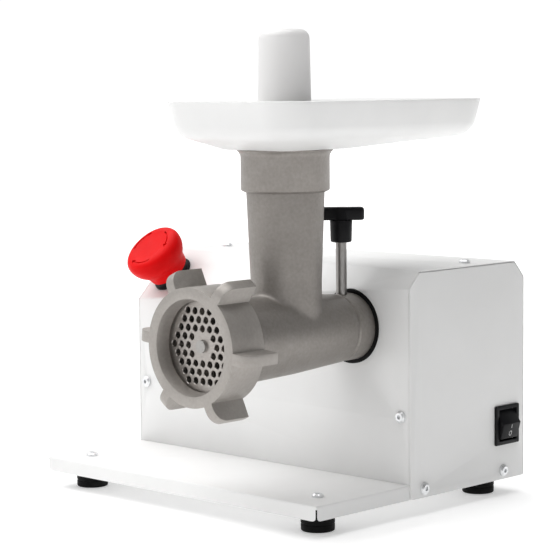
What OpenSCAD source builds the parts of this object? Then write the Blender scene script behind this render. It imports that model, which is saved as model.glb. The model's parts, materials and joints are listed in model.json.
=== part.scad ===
// Electric meat grinder: a folded sheet-steel case with a geared motor inside,
// a cast grinding head of size 12 in front of it, a feed tray and a pusher.
// Machine axes: X to the right seen from the front, Y to the back, Z up.
// Machine zero: middle of the case width, front panel, lower edge of the case.

/* [Case] */
// Width of the case over its side panels
case_w = 295; // [285:1:310]
// Depth of the case from front panel to back panel
case_d = 135; // [134:1:145]
// Height of the case above its lower edge
case_h = 168; // [167:1:176]
// Thickness of every steel sheet
sheet = 1.5; // [1.2:0.1:1.6]
// How far the base plate reaches out in front of the case
shelf_d = 100; // [90:1:110]
// Height of the base plate's top above the lower edge of the case
base_h = 11; // [10:0.5:12]
// How far the feet stand out below the case
foot_drop = 13; // [11:0.5:16]

/* [Bevel] */
// Setback of the bevel on the case top at the right end
bevel_back_right = 12.25; // [11:0.25:13]
// Drop of the bevel on the front panel at the right end
bevel_drop_right = 11.94; // [11:0.01:13]
// Drop of the bevel on the front panel at the left end
bevel_drop_left = 39.1; // [36:0.1:42]

/* [Grinding head] */
// Distance of the head's axis to the right of the case middle
head_x = 89; // [86:1:92]
// Height of the head's axis above the lower edge of the case
head_z = 124.5; // [122:0.5:126]
// How far the ring nut's face stands in front of the case
head_reach = 165.5; // [165:0.5:168]
// Outer diameter of the ring nut without its lugs
ring_d = 84; // [82:1:90]
// Diameter of the grinding plate
plate_d = 70; // [68:0.5:71]
// Diameter of one hole in the grinding plate
plate_hole_d = 4.8; // [3:0.1:5.4]
// Distance between neighbouring holes in the grinding plate
plate_pitch = 7.1; // [6.8:0.1:9]
// Distance of the feed tube's axis in front of the case
tube_reach = 69; // [67:1:71]

/* [Tray and pusher] */
// Width of the tray at its rim
tray_w = 134; // [128:1:150]
// Length of the tray at its rim
tray_l = 224; // [210:1:236]
// Length of the tray in front of the feed tube's axis
tray_front = 67; // [64:1:75]
// Height of the collar that the tray sits on
collar_z = 258.6; // [256:0.2:262]
// Height of the tray from its seat on the collar to its rim
tray_h = 34.4; // [32:0.2:40]
// Diameter of the pusher's handle
handle_d = 36.6; // [32:0.2:38]
// Height of the pusher's top above the tray's seat
pusher_top = 85.4; // [80:0.2:100]

/* [Emergency stop] */
// Distance of the stop button to the left of the case middle
estop_left = 125; // [120:1:126]
// Distance of the stop button behind the front panel
estop_back = 18.6; // [17:0.2:20]
// Diameter of the stop button's cap
estop_d = 48; // [40:1:50]
// Travel of the stop button
estop_travel = 4.5; // [3:0.1:4.8]

/* [Drive] */
// Teeth of the output gear
output_teeth = 32; // [30:1:33]
// Teeth of the stage gear
stage_teeth = 54; // [50:1:55]
// Teeth of both pinions
pinion_teeth = 12; // [12:1:14]
// Module of the output gear and its pinion
output_module = 2; // [1.9:0.1:2]
// Module of the stage gear and the motor's pinion
stage_module = 1.25; // [1.2:0.05:1.25]

/* [Hidden] */
$fn = 96;

// Bevel plane: height over the case as a function of x and y
slope_y = bevel_drop_right / bevel_back_right;
slope_x = (bevel_drop_left - bevel_drop_right) / case_w;
function bevel_z(x, y) =
    case_h - bevel_drop_right + slope_y * y + slope_x * (x - case_w / 2);
bevel_tilt = acos(1 / norm([slope_x, slope_y, 1]));
bevel_turn = -atan2(slope_x, slope_y);
bevel_normal = [-slope_x, -slope_y, 1] / norm([slope_x, slope_y, 1]);

// Rear chamfer between the top and the back
chamfer_back = 11.6;
chamfer_drop = 12.7;

// Base plate
base_w = case_w - 2 * sheet;
corner_slit = 2;
foot_x = 123;
foot_front_y = -74;
foot_back_y = 109;
foot_r = 12.5;
foot_h = base_h - sheet + foot_drop;

// Screws
head_r = 4.5;
screw_r = 2;
screw_gap = 0.1;

// Hub on the case front
hub_r = 25;
hub_front = -17;
hub_hole_r = 28;
spigot_r = 21;
spigot_end = 3;
lock_y = -10;
lock_rod_r = 4;

// Grinding head, along Y
plate_t = 6;
lip_t = 12;
plate_y = -head_reach + lip_t;
plate_back_y = plate_y + plate_t;
barrel_y = hub_front - 0.1;
knife_r = plate_d / 2 - 4;
knife_t = 9;
thread_r = plate_d / 2 + 3.4;
ring_back = -head_reach + 30.5;
auger_front = plate_back_y + knife_t + 1.5;
auger_back = -23;
stud_r = 4.5;
square_w = 12;
tang_w = 14;
shank_r = 12;

// Feed tube, collar and throat
tube_y = -tube_reach;
throat_r = 22.5;
collar_r = 32;
collar_h = 29.6;
socket_r = 28;
socket_h = 19;
spigot_bore_r = 23.5;

// Drive layout: output shaft, stage shaft and motor, seen from the front
drive_gap = 0.12;
stage_reach = (output_teeth + pinion_teeth) * output_module / 2;
motor_reach = (stage_teeth + pinion_teeth) * stage_module / 2;
stage_angle = 195;
motor_angle = 220;
head_axis = [head_x, head_z];
stage_axis = head_axis + stage_reach * [cos(stage_angle), sin(stage_angle)];
motor_axis = stage_axis + motor_reach * [cos(motor_angle), sin(motor_angle)];
half_tooth = 180 / pinion_teeth;

// Gearbox and motor planes, along Y
gearbox_front = 18;
cover_t = 6;
cavity_front = gearbox_front + cover_t;
gearbox_back = 62;
wall_t = 4;
cavity_back = gearbox_back - wall_t;
core_front = 74;
core_back = 106;
motor_back = 119;
motor_half = 43;
bolt_offset = 35;

// Emergency stop button
estop_scale = estop_d / 40;
estop_x = -estop_left;

// Rocker switch in the right side panel, a roof-shaped rocker
switch_y = 112.75;
switch_z = 42.25;
bezel_y = 28.5;
bezel_z = 30.5;
bezel_t = 2;
rocker_tilt = 10;

// Cord inlet in the back panel
gland_x = 108;
gland_z = 34;
gland_out = 9.5;

// Middle of the whole machine, so that zero is below its centre on the floor
left_end = estop_x + bevel_normal[0] * 28 - estop_d / 2 * sqrt(1 - pow(bevel_normal[0], 2));
mid_x = (head_x + tray_w / 2 + left_end) / 2;
mid_y = (case_d + gland_out - head_reach) / 2;

// Colours
white_paint = [0.94, 0.94, 0.93];
white_plastic = [0.96, 0.96, 0.94];
cast_grey = [0.62, 0.61, 0.59];
steel = [0.75, 0.76, 0.78];
dark = [0.09, 0.09, 0.1];
red = [0.85, 0.06, 0.06];
copper = [0.72, 0.4, 0.2];

// ---------------------------------------------------------------- helpers

// Moves a piece from machine zero to the model's zero
module place() {
    translate([-mid_x, -mid_y, foot_drop]) children();
}

// Round bar along Y from y0 to y1
module bar(axis, y0, y1, r) {
    translate([axis[0], y1, axis[1]]) rotate([90, 0, 0]) cylinder(r = r, h = y1 - y0);
}

// Taper along Y, radius r0 at y0 and r1 at y1
module taper(axis, y0, y1, r0, r1) {
    translate([axis[0], y1, axis[1]]) rotate([90, 0, 0]) cylinder(r1 = r1, r2 = r0, h = y1 - y0);
}

// Outline seen from the front, extruded from y0 to y1
module slab(axis, y0, y1) {
    translate([axis[0], y1, axis[1]]) rotate([90, 0, 0]) linear_extrude(y1 - y0) children();
}

// Square bar along Y
module square_bar(axis, y0, y1, w) {
    slab(axis, y0, y1) square(w, center = true);
}

// Stands on the bevel at x, y with its own Z along the bevel's normal
module on_bevel(x, y) {
    translate([x, y, bevel_z(x, y)]) rotate([bevel_tilt, 0, bevel_turn]) children();
}

// Solid of the case, all faces moved in by inset, open downwards
module case_solid(inset) {
    difference() {
        translate([-case_w / 2, inset, 0]) cube([case_w, case_d - 2 * inset, case_h - inset]);
        on_bevel(case_w / 2, 0) translate([-case_w - 60, -120, -inset]) cube([case_w + 120, 240, 90]);
        translate([0, case_d, case_h - chamfer_drop])
            rotate([-atan2(chamfer_drop, chamfer_back), 0, 0])
                translate([-case_w, -60, -inset]) cube([2 * case_w, 120, 40]);
    }
}

// Everything in front of the fold between bevel and top
module before_fold(past) {
    translate([case_w / 2, bevel_back_right, -1]) rotate([0, 0, bevel_turn])
        translate([-2 * case_w, -200, 0]) cube([2.5 * case_w, 200 + past, case_h + 40]);
}

// Screw with a round hexagon-socket head, head up, shank down
module cap_screw(shank) {
    difference() {
        union() {
            cylinder(r = head_r, h = 1.5);
            translate([0, 0, 1.5]) cylinder(r1 = head_r, r2 = head_r - 1.4, h = 1.1);
        }
        translate([0, 0, 1]) cylinder(r = 1.8, h = 3, $fn = 6);
    }
    translate([0, 0, -shank]) cylinder(r = screw_r, h = shank);
}

// Places of the panel screws: position and turn that points the head outwards
function panel_screw_places() = [
    for (s = [-1, 1]) [[s * 138, 0, 61], [90, 0, 0]],
    for (s = [-1, 1]) [[s * 129, 85, case_h], [0, 0, 0]],
    for (s = [-1, 1], y = [15, 109]) [[s * case_w / 2, y, 6.8], [0, s * 90, 0]],
    for (s = [-1, 1], z = [40, 120]) [[s * 138, case_d, z], [-90, 0, 0]]
];

module at_panel_screws() {
    for (p = panel_screw_places())
        translate(p[0]) rotate(p[1]) children();
}

function foot_places() = [
    for (x = [-foot_x, foot_x], y = [foot_front_y, foot_back_y]) [x, y, base_h]
];

// ---------------------------------------------------------------- case

module screw_holes() {
    at_panel_screws() translate([0, 0, -8]) cylinder(r = screw_r + screw_gap, h = 12, $fn = 24);
}

module base_plate() {
    depth = shelf_d + case_d - sheet;
    color(white_paint) place() difference() {
        union() {
            translate([-base_w / 2, -shelf_d, base_h - sheet]) cube([base_w, depth, sheet]);
            translate([-base_w / 2 + corner_slit, -shelf_d, 0])
                cube([base_w - 2 * corner_slit, sheet, base_h]);
            translate([-base_w / 2 + corner_slit, case_d - 2 * sheet, 0])
                cube([base_w - 2 * corner_slit, sheet, base_h]);
            for (s = [-1, 1])
                translate([s * (base_w - sheet) / 2 - sheet / 2, -shelf_d + corner_slit, 0])
                    cube([sheet, depth - corner_slit - sheet - 1, base_h]);
        }
        for (p = foot_places())
            translate(p - [0, 0, 5]) cylinder(r = screw_r + 0.6, h = 10);
        for (i = [0:6])
            translate([-60 + i * 9, 60, 0]) cube([4, 50, 20]);
        screw_holes();
    }
}

module front_panel() {
    color(white_paint) place() difference() {
        intersection() {
            difference() {
                case_solid(0);
                case_solid(sheet);
            }
            before_fold(0);
            translate([-case_w / 2 + sheet, -1, base_h]) cube([case_w - 2 * sheet, 120, case_h]);
        }
        bar(head_axis, -5, 10, hub_hole_r);
        on_bevel(estop_x, estop_back) translate([0, 0, -10]) cylinder(r = 11.2 * estop_scale, h = 20);
        screw_holes();
    }
}

module top_back_cover() {
    color(white_paint) place() difference() {
        intersection() {
            difference() {
                case_solid(0);
                case_solid(sheet);
            }
            translate([-case_w / 2 + sheet, 5, 0]) cube([case_w - 2 * sheet, case_d, case_h]);
        }
        before_fold(0.3);
        for (i = [0:8], z = [62, 96])
            translate([-80 + i * 20, case_d - 5, z]) {
                cube([5, 10, 24]);
                translate([2.5, 0, 0]) rotate([-90, 0, 0]) cylinder(r = 2.5, h = 10, $fn = 32);
                translate([2.5, 0, 24]) rotate([-90, 0, 0]) cylinder(r = 2.5, h = 10, $fn = 32);
            }
        bar([gland_x, gland_z], case_d - 5, case_d + 5, 7.2);
        screw_holes();
    }
}

// Side panel with inward tabs that the other panels are screwed to
module side_panel(side) {
    tab_w = 22;
    edge = case_w / 2 - sheet;
    difference() {
        union() {
            intersection() {
                case_solid(0);
                translate([side > 0 ? edge : -case_w / 2, -1, -1]) cube([sheet, case_d + 2, case_h + 2]);
            }
            translate([side > 0 ? edge - tab_w : -edge, sheet, base_h + 3]) cube([tab_w, sheet, 88]);
            translate([side > 0 ? edge - tab_w : -edge, 62, case_h - 2 * sheet]) cube([tab_w, 46, sheet]);
            translate([side > 0 ? edge - tab_w : -edge, case_d - 2 * sheet, base_h + 3])
                cube([tab_w, sheet, 120]);
        }
        // Rounded lower front corner
        translate([-case_w, -1, -1]) difference() {
            cube([2 * case_w, 4, 4]);
            translate([-1, 4, 4]) rotate([0, 90, 0]) cylinder(r = 3, h = 2 * case_w + 2);
        }
        screw_holes();
    }
}

module right_side_panel() {
    color(white_paint) place() difference() {
        side_panel(1);
        translate([case_w / 2 - 5, switch_y - 12.4, switch_z - 13.9]) cube([10, 24.8, 27.8]);
    }
}

module left_side_panel() {
    color(white_paint) place() difference() {
        side_panel(-1);
        for (i = [0:5])
            translate([-case_w / 2 - 5, 48 + i * 10, 40]) {
                cube([10, 4, 40]);
                for (z = [0, 40])
                    translate([0, 2, z]) rotate([0, 90, 0]) cylinder(r = 2, h = 10, $fn = 32);
            }
    }
}

module panel_screws() {
    color(steel) place() at_panel_screws() cap_screw(6);
}

module foot(x, y) {
    color(dark) place() translate([x, y, -foot_drop]) difference() {
        union() {
            cylinder(r1 = foot_r - 1.2, r2 = foot_r - 0.3, h = 1.2);
            translate([0, 0, 1.2]) cylinder(r1 = foot_r - 0.3, r2 = foot_r, h = foot_h - 1.2);
        }
        translate([0, 0, -1]) cylinder(r = 5.5, h = 8);
        cylinder(r = screw_r + 0.6, h = foot_h + 1);
    }
}

module foot_front_left() {
    foot(-foot_x, foot_front_y);
}

module foot_front_right() {
    foot(foot_x, foot_front_y);
}

module foot_back_left() {
    foot(-foot_x, foot_back_y);
}

module foot_back_right() {
    foot(foot_x, foot_back_y);
}

module foot_screws() {
    color(steel) place() for (p = foot_places()) translate(p) cap_screw(foot_h - 1.5);
}

module foot_nuts() {
    color(steel) place() for (p = foot_places())
        translate([p[0], p[1], -foot_drop + 3.6]) difference() {
            cylinder(r = 4.6, h = 3.3, $fn = 6);
            translate([0, 0, -1]) cylinder(r = screw_r + 0.05, h = 6);
        }
}

// ---------------------------------------------------------------- hub and gearbox

// Outline of the gear case seen from the front, grown by a wall
module gearbox_outline(grow) {
    translate(head_axis) circle(r = 35.2 + grow);
    translate(stage_axis) circle(r = 36.2 + grow);
    translate(motor_axis) circle(r = 22 + grow);
}

function ear_places() = [
    for (a = [45, -50]) head_axis + 43 * [cos(a), sin(a)],
    for (a = [130, 285]) stage_axis + 44 * [cos(a), sin(a)],
    for (a = [165, 270]) motor_axis + 30 * [cos(a), sin(a)]
];

module gearbox_ears() {
    for (p = ear_places()) translate(p) circle(r = 6);
}

module ear_holes(y0, y1) {
    for (p = ear_places()) bar(p, y0, y1, screw_r + 0.1);
}

module hub_housing() {
    color(cast_grey) place() difference() {
        union() {
            bar(head_axis, hub_front + 1.5, gearbox_front + 1, hub_r);
            taper(head_axis, hub_front, hub_front + 1.5, hub_r - 1, hub_r);
            taper(head_axis, gearbox_front - 6, gearbox_front, hub_r, hub_r + 6);
            slab([0, 0], gearbox_front, cavity_front) {
                gearbox_outline(wall_t);
                gearbox_ears();
            }
            bar(head_axis, cavity_front - 1, cavity_front + 2, hub_r);
        }
        bar(head_axis, hub_front - 1, spigot_end + 0.5, spigot_r + 0.06);
        bar(head_axis, spigot_end, 14.3, 16.5);
        bar(head_axis, 14.2, cavity_front + 3, 20.02);
        bar(stage_axis, gearbox_front + 1.5, cavity_front + 1, 8.02);
        translate([head_x, lock_y, head_z]) cylinder(r = lock_rod_r + 0.05, h = hub_r + 5);
        ear_holes(gearbox_front - 1, cavity_front + 1);
    }
}

module hub_seal_ring() {
    color(dark) place() ring(head_axis, -0.9, sheet + 1.2, hub_r + 0.1, hub_hole_r - 0.1);
}

module gearbox_housing() {
    color([0.7, 0.71, 0.72]) place() difference() {
        slab([0, 0], cavity_front + 0.05, gearbox_back) {
            gearbox_outline(wall_t);
            gearbox_ears();
        }
        slab([0, 0], cavity_front - 1, cavity_back) gearbox_outline(0);
        bar(head_axis, cavity_back - 1, gearbox_back + 1, 10.02);
        bar(stage_axis, cavity_back - 1, gearbox_back + 1, 8.02);
        bar(motor_axis, cavity_back - 1, gearbox_back + 1, 10.5);
        ear_holes(cavity_front - 1, gearbox_back + 1);
        for (a = [45:90:315])
            bar(motor_axis + bolt_offset * [sign(cos(a)), sign(sin(a))], 0, gearbox_back + 1, 2.6);
    }
}

module gearbox_screws() {
    color(steel) place() for (p = ear_places())
        translate([p[0], gearbox_front, p[1]]) rotate([90, 0, 0]) cap_screw(40);
}

// Bearing or bush as one plain ring
module ring(axis, y0, y1, inner, outer) {
    difference() {
        bar(axis, y0, y1, outer);
        bar(axis, y0 - 1, y1 + 1, inner);
    }
}

// Ball bearing: two races joined by a recessed shield
module ball_bearing(axis, y0, y1, inner, outer) {
    race = (outer - inner) * 0.27;
    difference() {
        ring(axis, y0, y1, inner, outer);
        for (y = [y0 - 1, y1 - 0.8])
            ring(axis, y, y + 1.8, inner + race, outer - race);
    }
}

module hub_bearing() {
    color(steel) place() ball_bearing(head_axis, 14.5, 25.5, 10.04, 20);
}

module output_rear_bush() {
    color([0.72, 0.55, 0.3]) place() ring(head_axis, cavity_back - 1, gearbox_back - 0.2, 6.05, 10);
}

module stage_bushes() {
    color([0.72, 0.55, 0.3]) place() {
        ring(stage_axis, gearbox_front + 1.7, cavity_front + 2, 5.05, 8);
        ring(stage_axis, cavity_back - 1, gearbox_back - 0.2, 5.05, 8);
    }
}

module motor_bearings() {
    color(steel) place() {
        ball_bearing(motor_axis, gearbox_back + 0.6, 70, 6.05, 13);
        ball_bearing(motor_axis, motor_back - 8, motor_back - 0.4, 6.05, 13);
    }
}

// ---------------------------------------------------------------- gears

pressure = 20;
function inv(a) = tan(a) * 180 / PI - a;

// Half angle of a tooth at radius r, for pitch radius rp and z teeth
function tooth_half(r, rp, z) =
    let (rb = rp * cos(pressure), a = r > rb ? acos(rb / r) : 0)
    90 / z - drive_gap / rp * 90 / PI + inv(pressure) - inv(a);

function gear_points(m, z) =
    let (
        rp = m * z / 2,
        radii = [rp - 1.2 * m, rp - 0.45 * m, rp, rp + 0.4 * m, rp + 0.8 * m],
        n = len(radii)
    )
    [
        for (t = [0:z - 1])
            for (i = [0:2 * n - 1])
                let (
                    k = i < n ? i : 2 * n - 1 - i,
                    side = i < n ? -1 : 1,
                    r = radii[k],
                    a = 360 * t / z + side * tooth_half(r, rp, z) * (k == 0 ? 0.94 : 1)
                )
                r * [cos(a), sin(a)]
    ];

// Spur gear along Y with one tooth at the angle turn, bored for its shaft
module spur_gear(axis, y0, y1, m, z, turn, bore) {
    difference() {
        slab(axis, y0, y1) rotate(turn) polygon(gear_points(m, z));
        bar(axis, y0 - 1, y1 + 1, bore);
    }
}

module output_gear() {
    color(steel) place() difference() {
        spur_gear(head_axis, 28, 43, output_module, output_teeth, stage_angle, 9.05);
        ring(head_axis, 27, 31, 15, 26);
        ring(head_axis, 40, 44, 15, 26);
    }
}

module output_shaft() {
    color(steel) place() difference() {
        union() {
            bar(head_axis, 4, 14, 15);
            bar(head_axis, 14, 27.8, 10);
            bar(head_axis, 27.8, 44, 9);
            bar(head_axis, 44, gearbox_back - 0.5, 6);
        }
        square_bar(head_axis, 3, 13.8, tang_w + 0.4);
    }
}

module stage_pinion() {
    color(steel) place()
        spur_gear(stage_axis, 27.5, 44.5, output_module, pinion_teeth, stage_angle + 180 + half_tooth, 6.05);
}

module stage_gear() {
    color([0.88, 0.86, 0.78]) place() difference() {
        spur_gear(stage_axis, 46.5, 56, stage_module, stage_teeth, motor_angle, 6.05);
        for (a = [0:60:300])
            bar(stage_axis + 20 * [cos(a), sin(a)], 45, 58, 6);
    }
}

module stage_shaft() {
    color(steel) place() {
        bar(stage_axis, gearbox_front + 2.5, gearbox_back - 0.5, 5);
        bar(stage_axis, 27, 56.5, 6);
    }
}

module motor_pinion() {
    color(steel) place()
        spur_gear(motor_axis, 45.5, 57, stage_module, pinion_teeth, motor_angle + 180 + half_tooth, 4.05);
}

// ---------------------------------------------------------------- motor

module motor_outline(half, corner) {
    intersection() {
        square(2 * half, center = true);
        circle(r = corner);
    }
}

module at_motor_corners() {
    for (sx = [-1, 1], sz = [-1, 1])
        translate([motor_axis[0] + sx * bolt_offset, 0, motor_axis[1] + sz * bolt_offset]) children();
}

module bolt_holes(y0, y1) {
    at_motor_corners() bar([0, 0], y0, y1, 2.6);
}

module motor_front_shield() {
    color([0.7, 0.71, 0.72]) place() difference() {
        slab(motor_axis, gearbox_back + 0.05, core_front - 0.05) motor_outline(motor_half, 52);
        bar(motor_axis, 67, core_front + 1, 39);
        bar(motor_axis, gearbox_back - 1, 70.2, 13.03);
        bolt_holes(gearbox_back - 1, core_front + 1);
    }
}

module motor_rear_shield() {
    color([0.7, 0.71, 0.72]) place() difference() {
        slab(motor_axis, core_back + 0.05, motor_back) motor_outline(motor_half, 52);
        bar(motor_axis, core_back - 1, motor_back - 4, 39);
        bar(motor_axis, core_back, motor_back + 1, 13.03);
        bolt_holes(core_back - 1, motor_back + 1);
    }
    color([0.7, 0.71, 0.72]) place()
        ring(motor_axis, motor_back - 8.2, motor_back - 3.9, 13.03, 17);
}

module stator_core() {
    color([0.45, 0.46, 0.48]) place() difference() {
        slab(motor_axis, core_front, core_back) motor_outline(motor_half, 50);
        bar(motor_axis, core_front - 1, core_back + 1, 25);
        for (a = [7.5:15:352.5])
            translate([motor_axis[0], core_front - 1, motor_axis[1]]) rotate([0, a, 0])
                translate([24, 0, -1]) cube([3, core_back - core_front + 2, 2]);
        bolt_holes(core_front - 1, core_back + 1);
    }
}

module stator_windings() {
    color(copper) place() {
        ring(motor_axis, 70.5, core_front - 0.05, 27.5, 37.5);
        ring(motor_axis, core_back + 0.05, 111, 27.5, 37.5);
    }
}

module rotor() {
    color([0.5, 0.51, 0.53]) place() {
        ring(motor_axis, core_front + 0.5, core_back - 0.5, 7.05, 24.4);
        ring(motor_axis, core_front - 3, core_front + 0.5, 16, 23);
        ring(motor_axis, core_back - 0.5, core_back + 3, 16, 23);
    }
}

module motor_shaft() {
    color(steel) place() {
        bar(motor_axis, 45, 60, 4);
        bar(motor_axis, 60, motor_back, 6);
        bar(motor_axis, core_front, core_back, 7);
        bar(motor_axis, motor_back, 130, 4);
    }
}

module cooling_fan() {
    color([0.2, 0.2, 0.22]) place() {
        ring(motor_axis, 120.5, 129, 4.05, 9);
        ring(motor_axis, 120.5, 122, 8.9, 36);
        for (a = [0:40:320])
            translate([motor_axis[0], 0, motor_axis[1]]) rotate([0, a, 0])
                translate([8.5, 121.5, -0.8]) cube([27, 7, 1.6]);
    }
}

module motor_bolts() {
    color(steel) place() at_motor_corners() {
        bar([0, 0], gearbox_back + 0.5, motor_back + 3, 2.5);
        translate([0, motor_back + 0.05, 0]) rotate([-90, 0, 0]) cylinder(r = 4.6, h = 3.5, $fn = 6);
    }
}

module motor_bracket() {
    top = motor_axis[1] - motor_half - 0.05;
    color(steel) place() difference() {
        translate([motor_axis[0], 0, 0]) {
            translate([-32, core_front, base_h + 0.05]) cube([64, core_back - core_front, 2]);
            for (y = [core_front, core_back - 2])
                translate([-24, y, base_h + 1]) cube([48, 2, top - base_h - 1]);
        }
        for (s = [-1, 1])
            translate([motor_axis[0] + s * 28, 90, 0]) cylinder(r = 2.2, h = 40);
    }
}

// ---------------------------------------------------------------- electrics

cap_axis = [-76, 34];

module run_capacitor() {
    color([0.85, 0.85, 0.84]) place() {
        bar(cap_axis, 40, 112, 19);
        bar(cap_axis, 38, 40, 17.5);
        for (s = [-1, 1]) translate([cap_axis[0] + s * 7 - 3, 30, cap_axis[1] - 0.4]) cube([6, 8.5, 0.8]);
    }
}

module capacitor_clip() {
    color(steel) place() difference() {
        union() {
            bar(cap_axis, 70, 84, 21.2);
            translate([cap_axis[0] - 26, 70, base_h + 0.05]) cube([52, 14, 2]);
        }
        bar(cap_axis, 60, 95, 19.05);
    }
}

module terminal_block() {
    color([0.9, 0.9, 0.88]) place() difference() {
        translate([-136, 40, base_h + 0.05]) cube([18, 60, 16]);
        for (i = [0:4])
            translate([-127, 46 + i * 12, base_h + 8]) cylinder(r = 3, h = 20);
        for (i = [0:5])
            translate([-140, 39.4 + i * 12, base_h + 9]) cube([30, 1.2, 10]);
    }
}

// Eight-sided rod from point a to point b
module rod(a, b, r) {
    d = b - a;
    translate(a) rotate([0, acos(d[2] / norm(d)), atan2(d[1], d[0])])
        cylinder(r = r, h = norm(d), $fn = 8);
}

// Insulated wire laid in straight runs that overlap a little at each bend
module wire(points, r) {
    last = len(points) - 1;
    lap = 0.5 * r;
    for (i = [0:last - 1])
        let (t = (points[i + 1] - points[i]) / norm(points[i + 1] - points[i]))
            rod(points[i] - (i > 0 ? lap : 0) * t, points[i + 1] + (i < last - 1 ? lap : 0) * t, r);
}

module wiring() {
    wire_r = 1.5;
    color([0.15, 0.25, 0.6]) place() {
        wire([[gland_x, 127, gland_z], [gland_x + 1, 118, gland_z + 1], [116.6, 112.75, 34.25]], wire_r);
        wire([[116.6, 112.75, 50.25], [106, 113, 40], [98, 114, 16], [-106, 118, 17], [-116.4, 92, 22]],
            wire_r);
        wire([[-116.4, 54, 22], [-110, 52, 40], [-117, 66, 84], [-121.4, 55, 111.6]], wire_r);
        wire([[-116.4, 68, 22], [-106, 60, 26], [-100, 28, 36], [-83, 28.6, 34]], wire_r);
    }
}

module cord_gland() {
    color(dark) place() difference() {
        union() {
            bar([gland_x, gland_z], 128, case_d + 0.1, 7);
            slab([gland_x, gland_z], case_d, case_d + 4) circle(r = 10.5, $fn = 6);
            taper([gland_x, gland_z], case_d + 4, case_d + gland_out, 9, 6.6);
        }
        bar([gland_x, gland_z], 120, case_d + 20, 4);
    }
}

module gland_nut() {
    color(dark) place() difference() {
        slab([gland_x, gland_z], 129, case_d - sheet - 0.05) circle(r = 10.5, $fn = 6);
        bar([gland_x, gland_z], 120, case_d, 7.05);
    }
}

module switch_housing() {
    x0 = case_w / 2;
    color(dark) place() difference() {
        union() {
            translate([x0 + 0.02, switch_y - bezel_y / 2, switch_z - bezel_z / 2])
                cube([bezel_t, bezel_y, bezel_z]);
            translate([x0 - 23, switch_y - 12.3, switch_z - 13.7]) cube([23.5, 24.6, 27.4]);
        }
        translate([x0 - 11, switch_y - 10.8, switch_z - 12.3]) cube([20, 21.6, 24.6]);
        translate([x0 - 2, switch_y - 15, switch_z]) rotate([-90, 0, 0]) cylinder(r = 1.55, h = 30);
        for (z = [-8, 0, 8]) translate([x0 - 25, switch_y - 3.1, switch_z + z - 0.5]) cube([20, 6.2, 1]);
    }
}

module switch_rocker() {
    half = 11.1;
    ridge = 8.5;
    eave = ridge - half * tan(25);
    x0 = case_w / 2 - 2;
    color([0.13, 0.13, 0.14]) place() translate([x0, switch_y, switch_z])
        rotate([90, -rocker_tilt, 0]) {
            translate([0, 0, -10.4]) linear_extrude(20.8) {
                polygon([[-1.5, -half], [eave, -half], [ridge, 0], [eave, half], [-1.5, half]]);
                circle(r = 4);
            }
            translate([0, 0, -12]) cylinder(r = 1.5, h = 24);
        }
}

module switch_contacts() {
    x0 = case_w / 2;
    color([0.8, 0.68, 0.35]) place() for (z = [-8, 0, 8])
        translate([x0 - 30, switch_y - 3, switch_z + z - 0.4]) cube([22, 6, 0.8]);
}

// ---------------------------------------------------------------- emergency stop

module on_estop() {
    on_bevel(estop_x, estop_back) scale(estop_scale) children();
}

plunger_r = 7.9;

module estop_collar() {
    recess_z = 6.65 - estop_travel / estop_scale;
    color(dark) place() on_estop() difference() {
        union() {
            translate([0, 0, 0.05]) cylinder(r1 = 14.6, r2 = 14.4, h = 0.95);
            translate([0, 0, 0.5]) cylinder(r = 12.9, h = 7);
            translate([0, 0, -19]) cylinder(r = 11, h = 19.1);
        }
        translate([0, 0, -20]) cylinder(r = plunger_r + 0.05, h = 40);
        translate([0, 0, recess_z]) cylinder(r = 11.35, h = 10);
    }
}

module estop_nut() {
    color([0.25, 0.25, 0.27]) place() on_estop() translate([0, 0, -6.4]) difference() {
        cylinder(r = 13.6, h = 5, $fn = 8);
        translate([0, 0, -1]) cylinder(r = 11.05, h = 8);
    }
}

module estop_contact_block() {
    color([0.85, 0.84, 0.8]) place() on_estop() difference() {
        translate([-13, -13, -42]) cube([26, 26, 22.9]);
        translate([0, 0, -23]) cylinder(r = 9, h = 10);
        for (s = [-1, 1], t = [-1, 1]) translate([s * 8, t * 13, -34]) cube([5, 6, 5], center = true);
    }
}

module estop_plunger() {
    color([0.5, 0.03, 0.03]) place() on_estop() {
        translate([0, 0, -18]) cylinder(r = plunger_r, h = 35.8);
    }
}

// Mushroom cap, a turned profile: skirt round the collar, flared underside and thick rounded rim
module estop_cap() {
    rim_r = 5.5;
    rim_z = 23;
    cap_r = 20.8;
    color(red) place() on_estop() difference() {
        rotate_extrude() difference() {
            union() {
                polygon([
                    [0, 7.1], [11, 7.1], [11, 11.9], [13.3, 11.9], [13.3, 5.1], [14.2, 5.1], [15, 9.2],
                    [16.3, 12], [18.6, 15.4], [20.2, 18.4], [20.75, 21], [cap_r, rim_z],
                    [cap_r - rim_r, rim_z + rim_r], [11, 28], [0, 27.8]
                ]);
                translate([cap_r - rim_r, rim_z]) circle(r = rim_r);
            }
            translate([-10, 0]) square([10, 40]);
        }
        translate([0, 0, -1]) cylinder(r = plunger_r + 0.05, h = 19);
        for (a = [0:120:240])
            rotate(a) translate([0, 0, 27.5])
                rotate_extrude(angle = 62) translate([14.1, 0]) square([1.1, 4]);
    }
}

// ---------------------------------------------------------------- grinding head

// Quarter-round foot of the feed tube, only before and behind it
module tube_foot() {
    foot_w = 2 * 26;
    intersection() {
        translate([head_x, tube_y, head_z + 20]) cylinder(r1 = 36, r2 = 25.5, h = 20);
        translate([head_x - foot_w / 2, tube_y - 40, head_z]) cube([foot_w, 80, 60]);
    }
}

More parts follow.
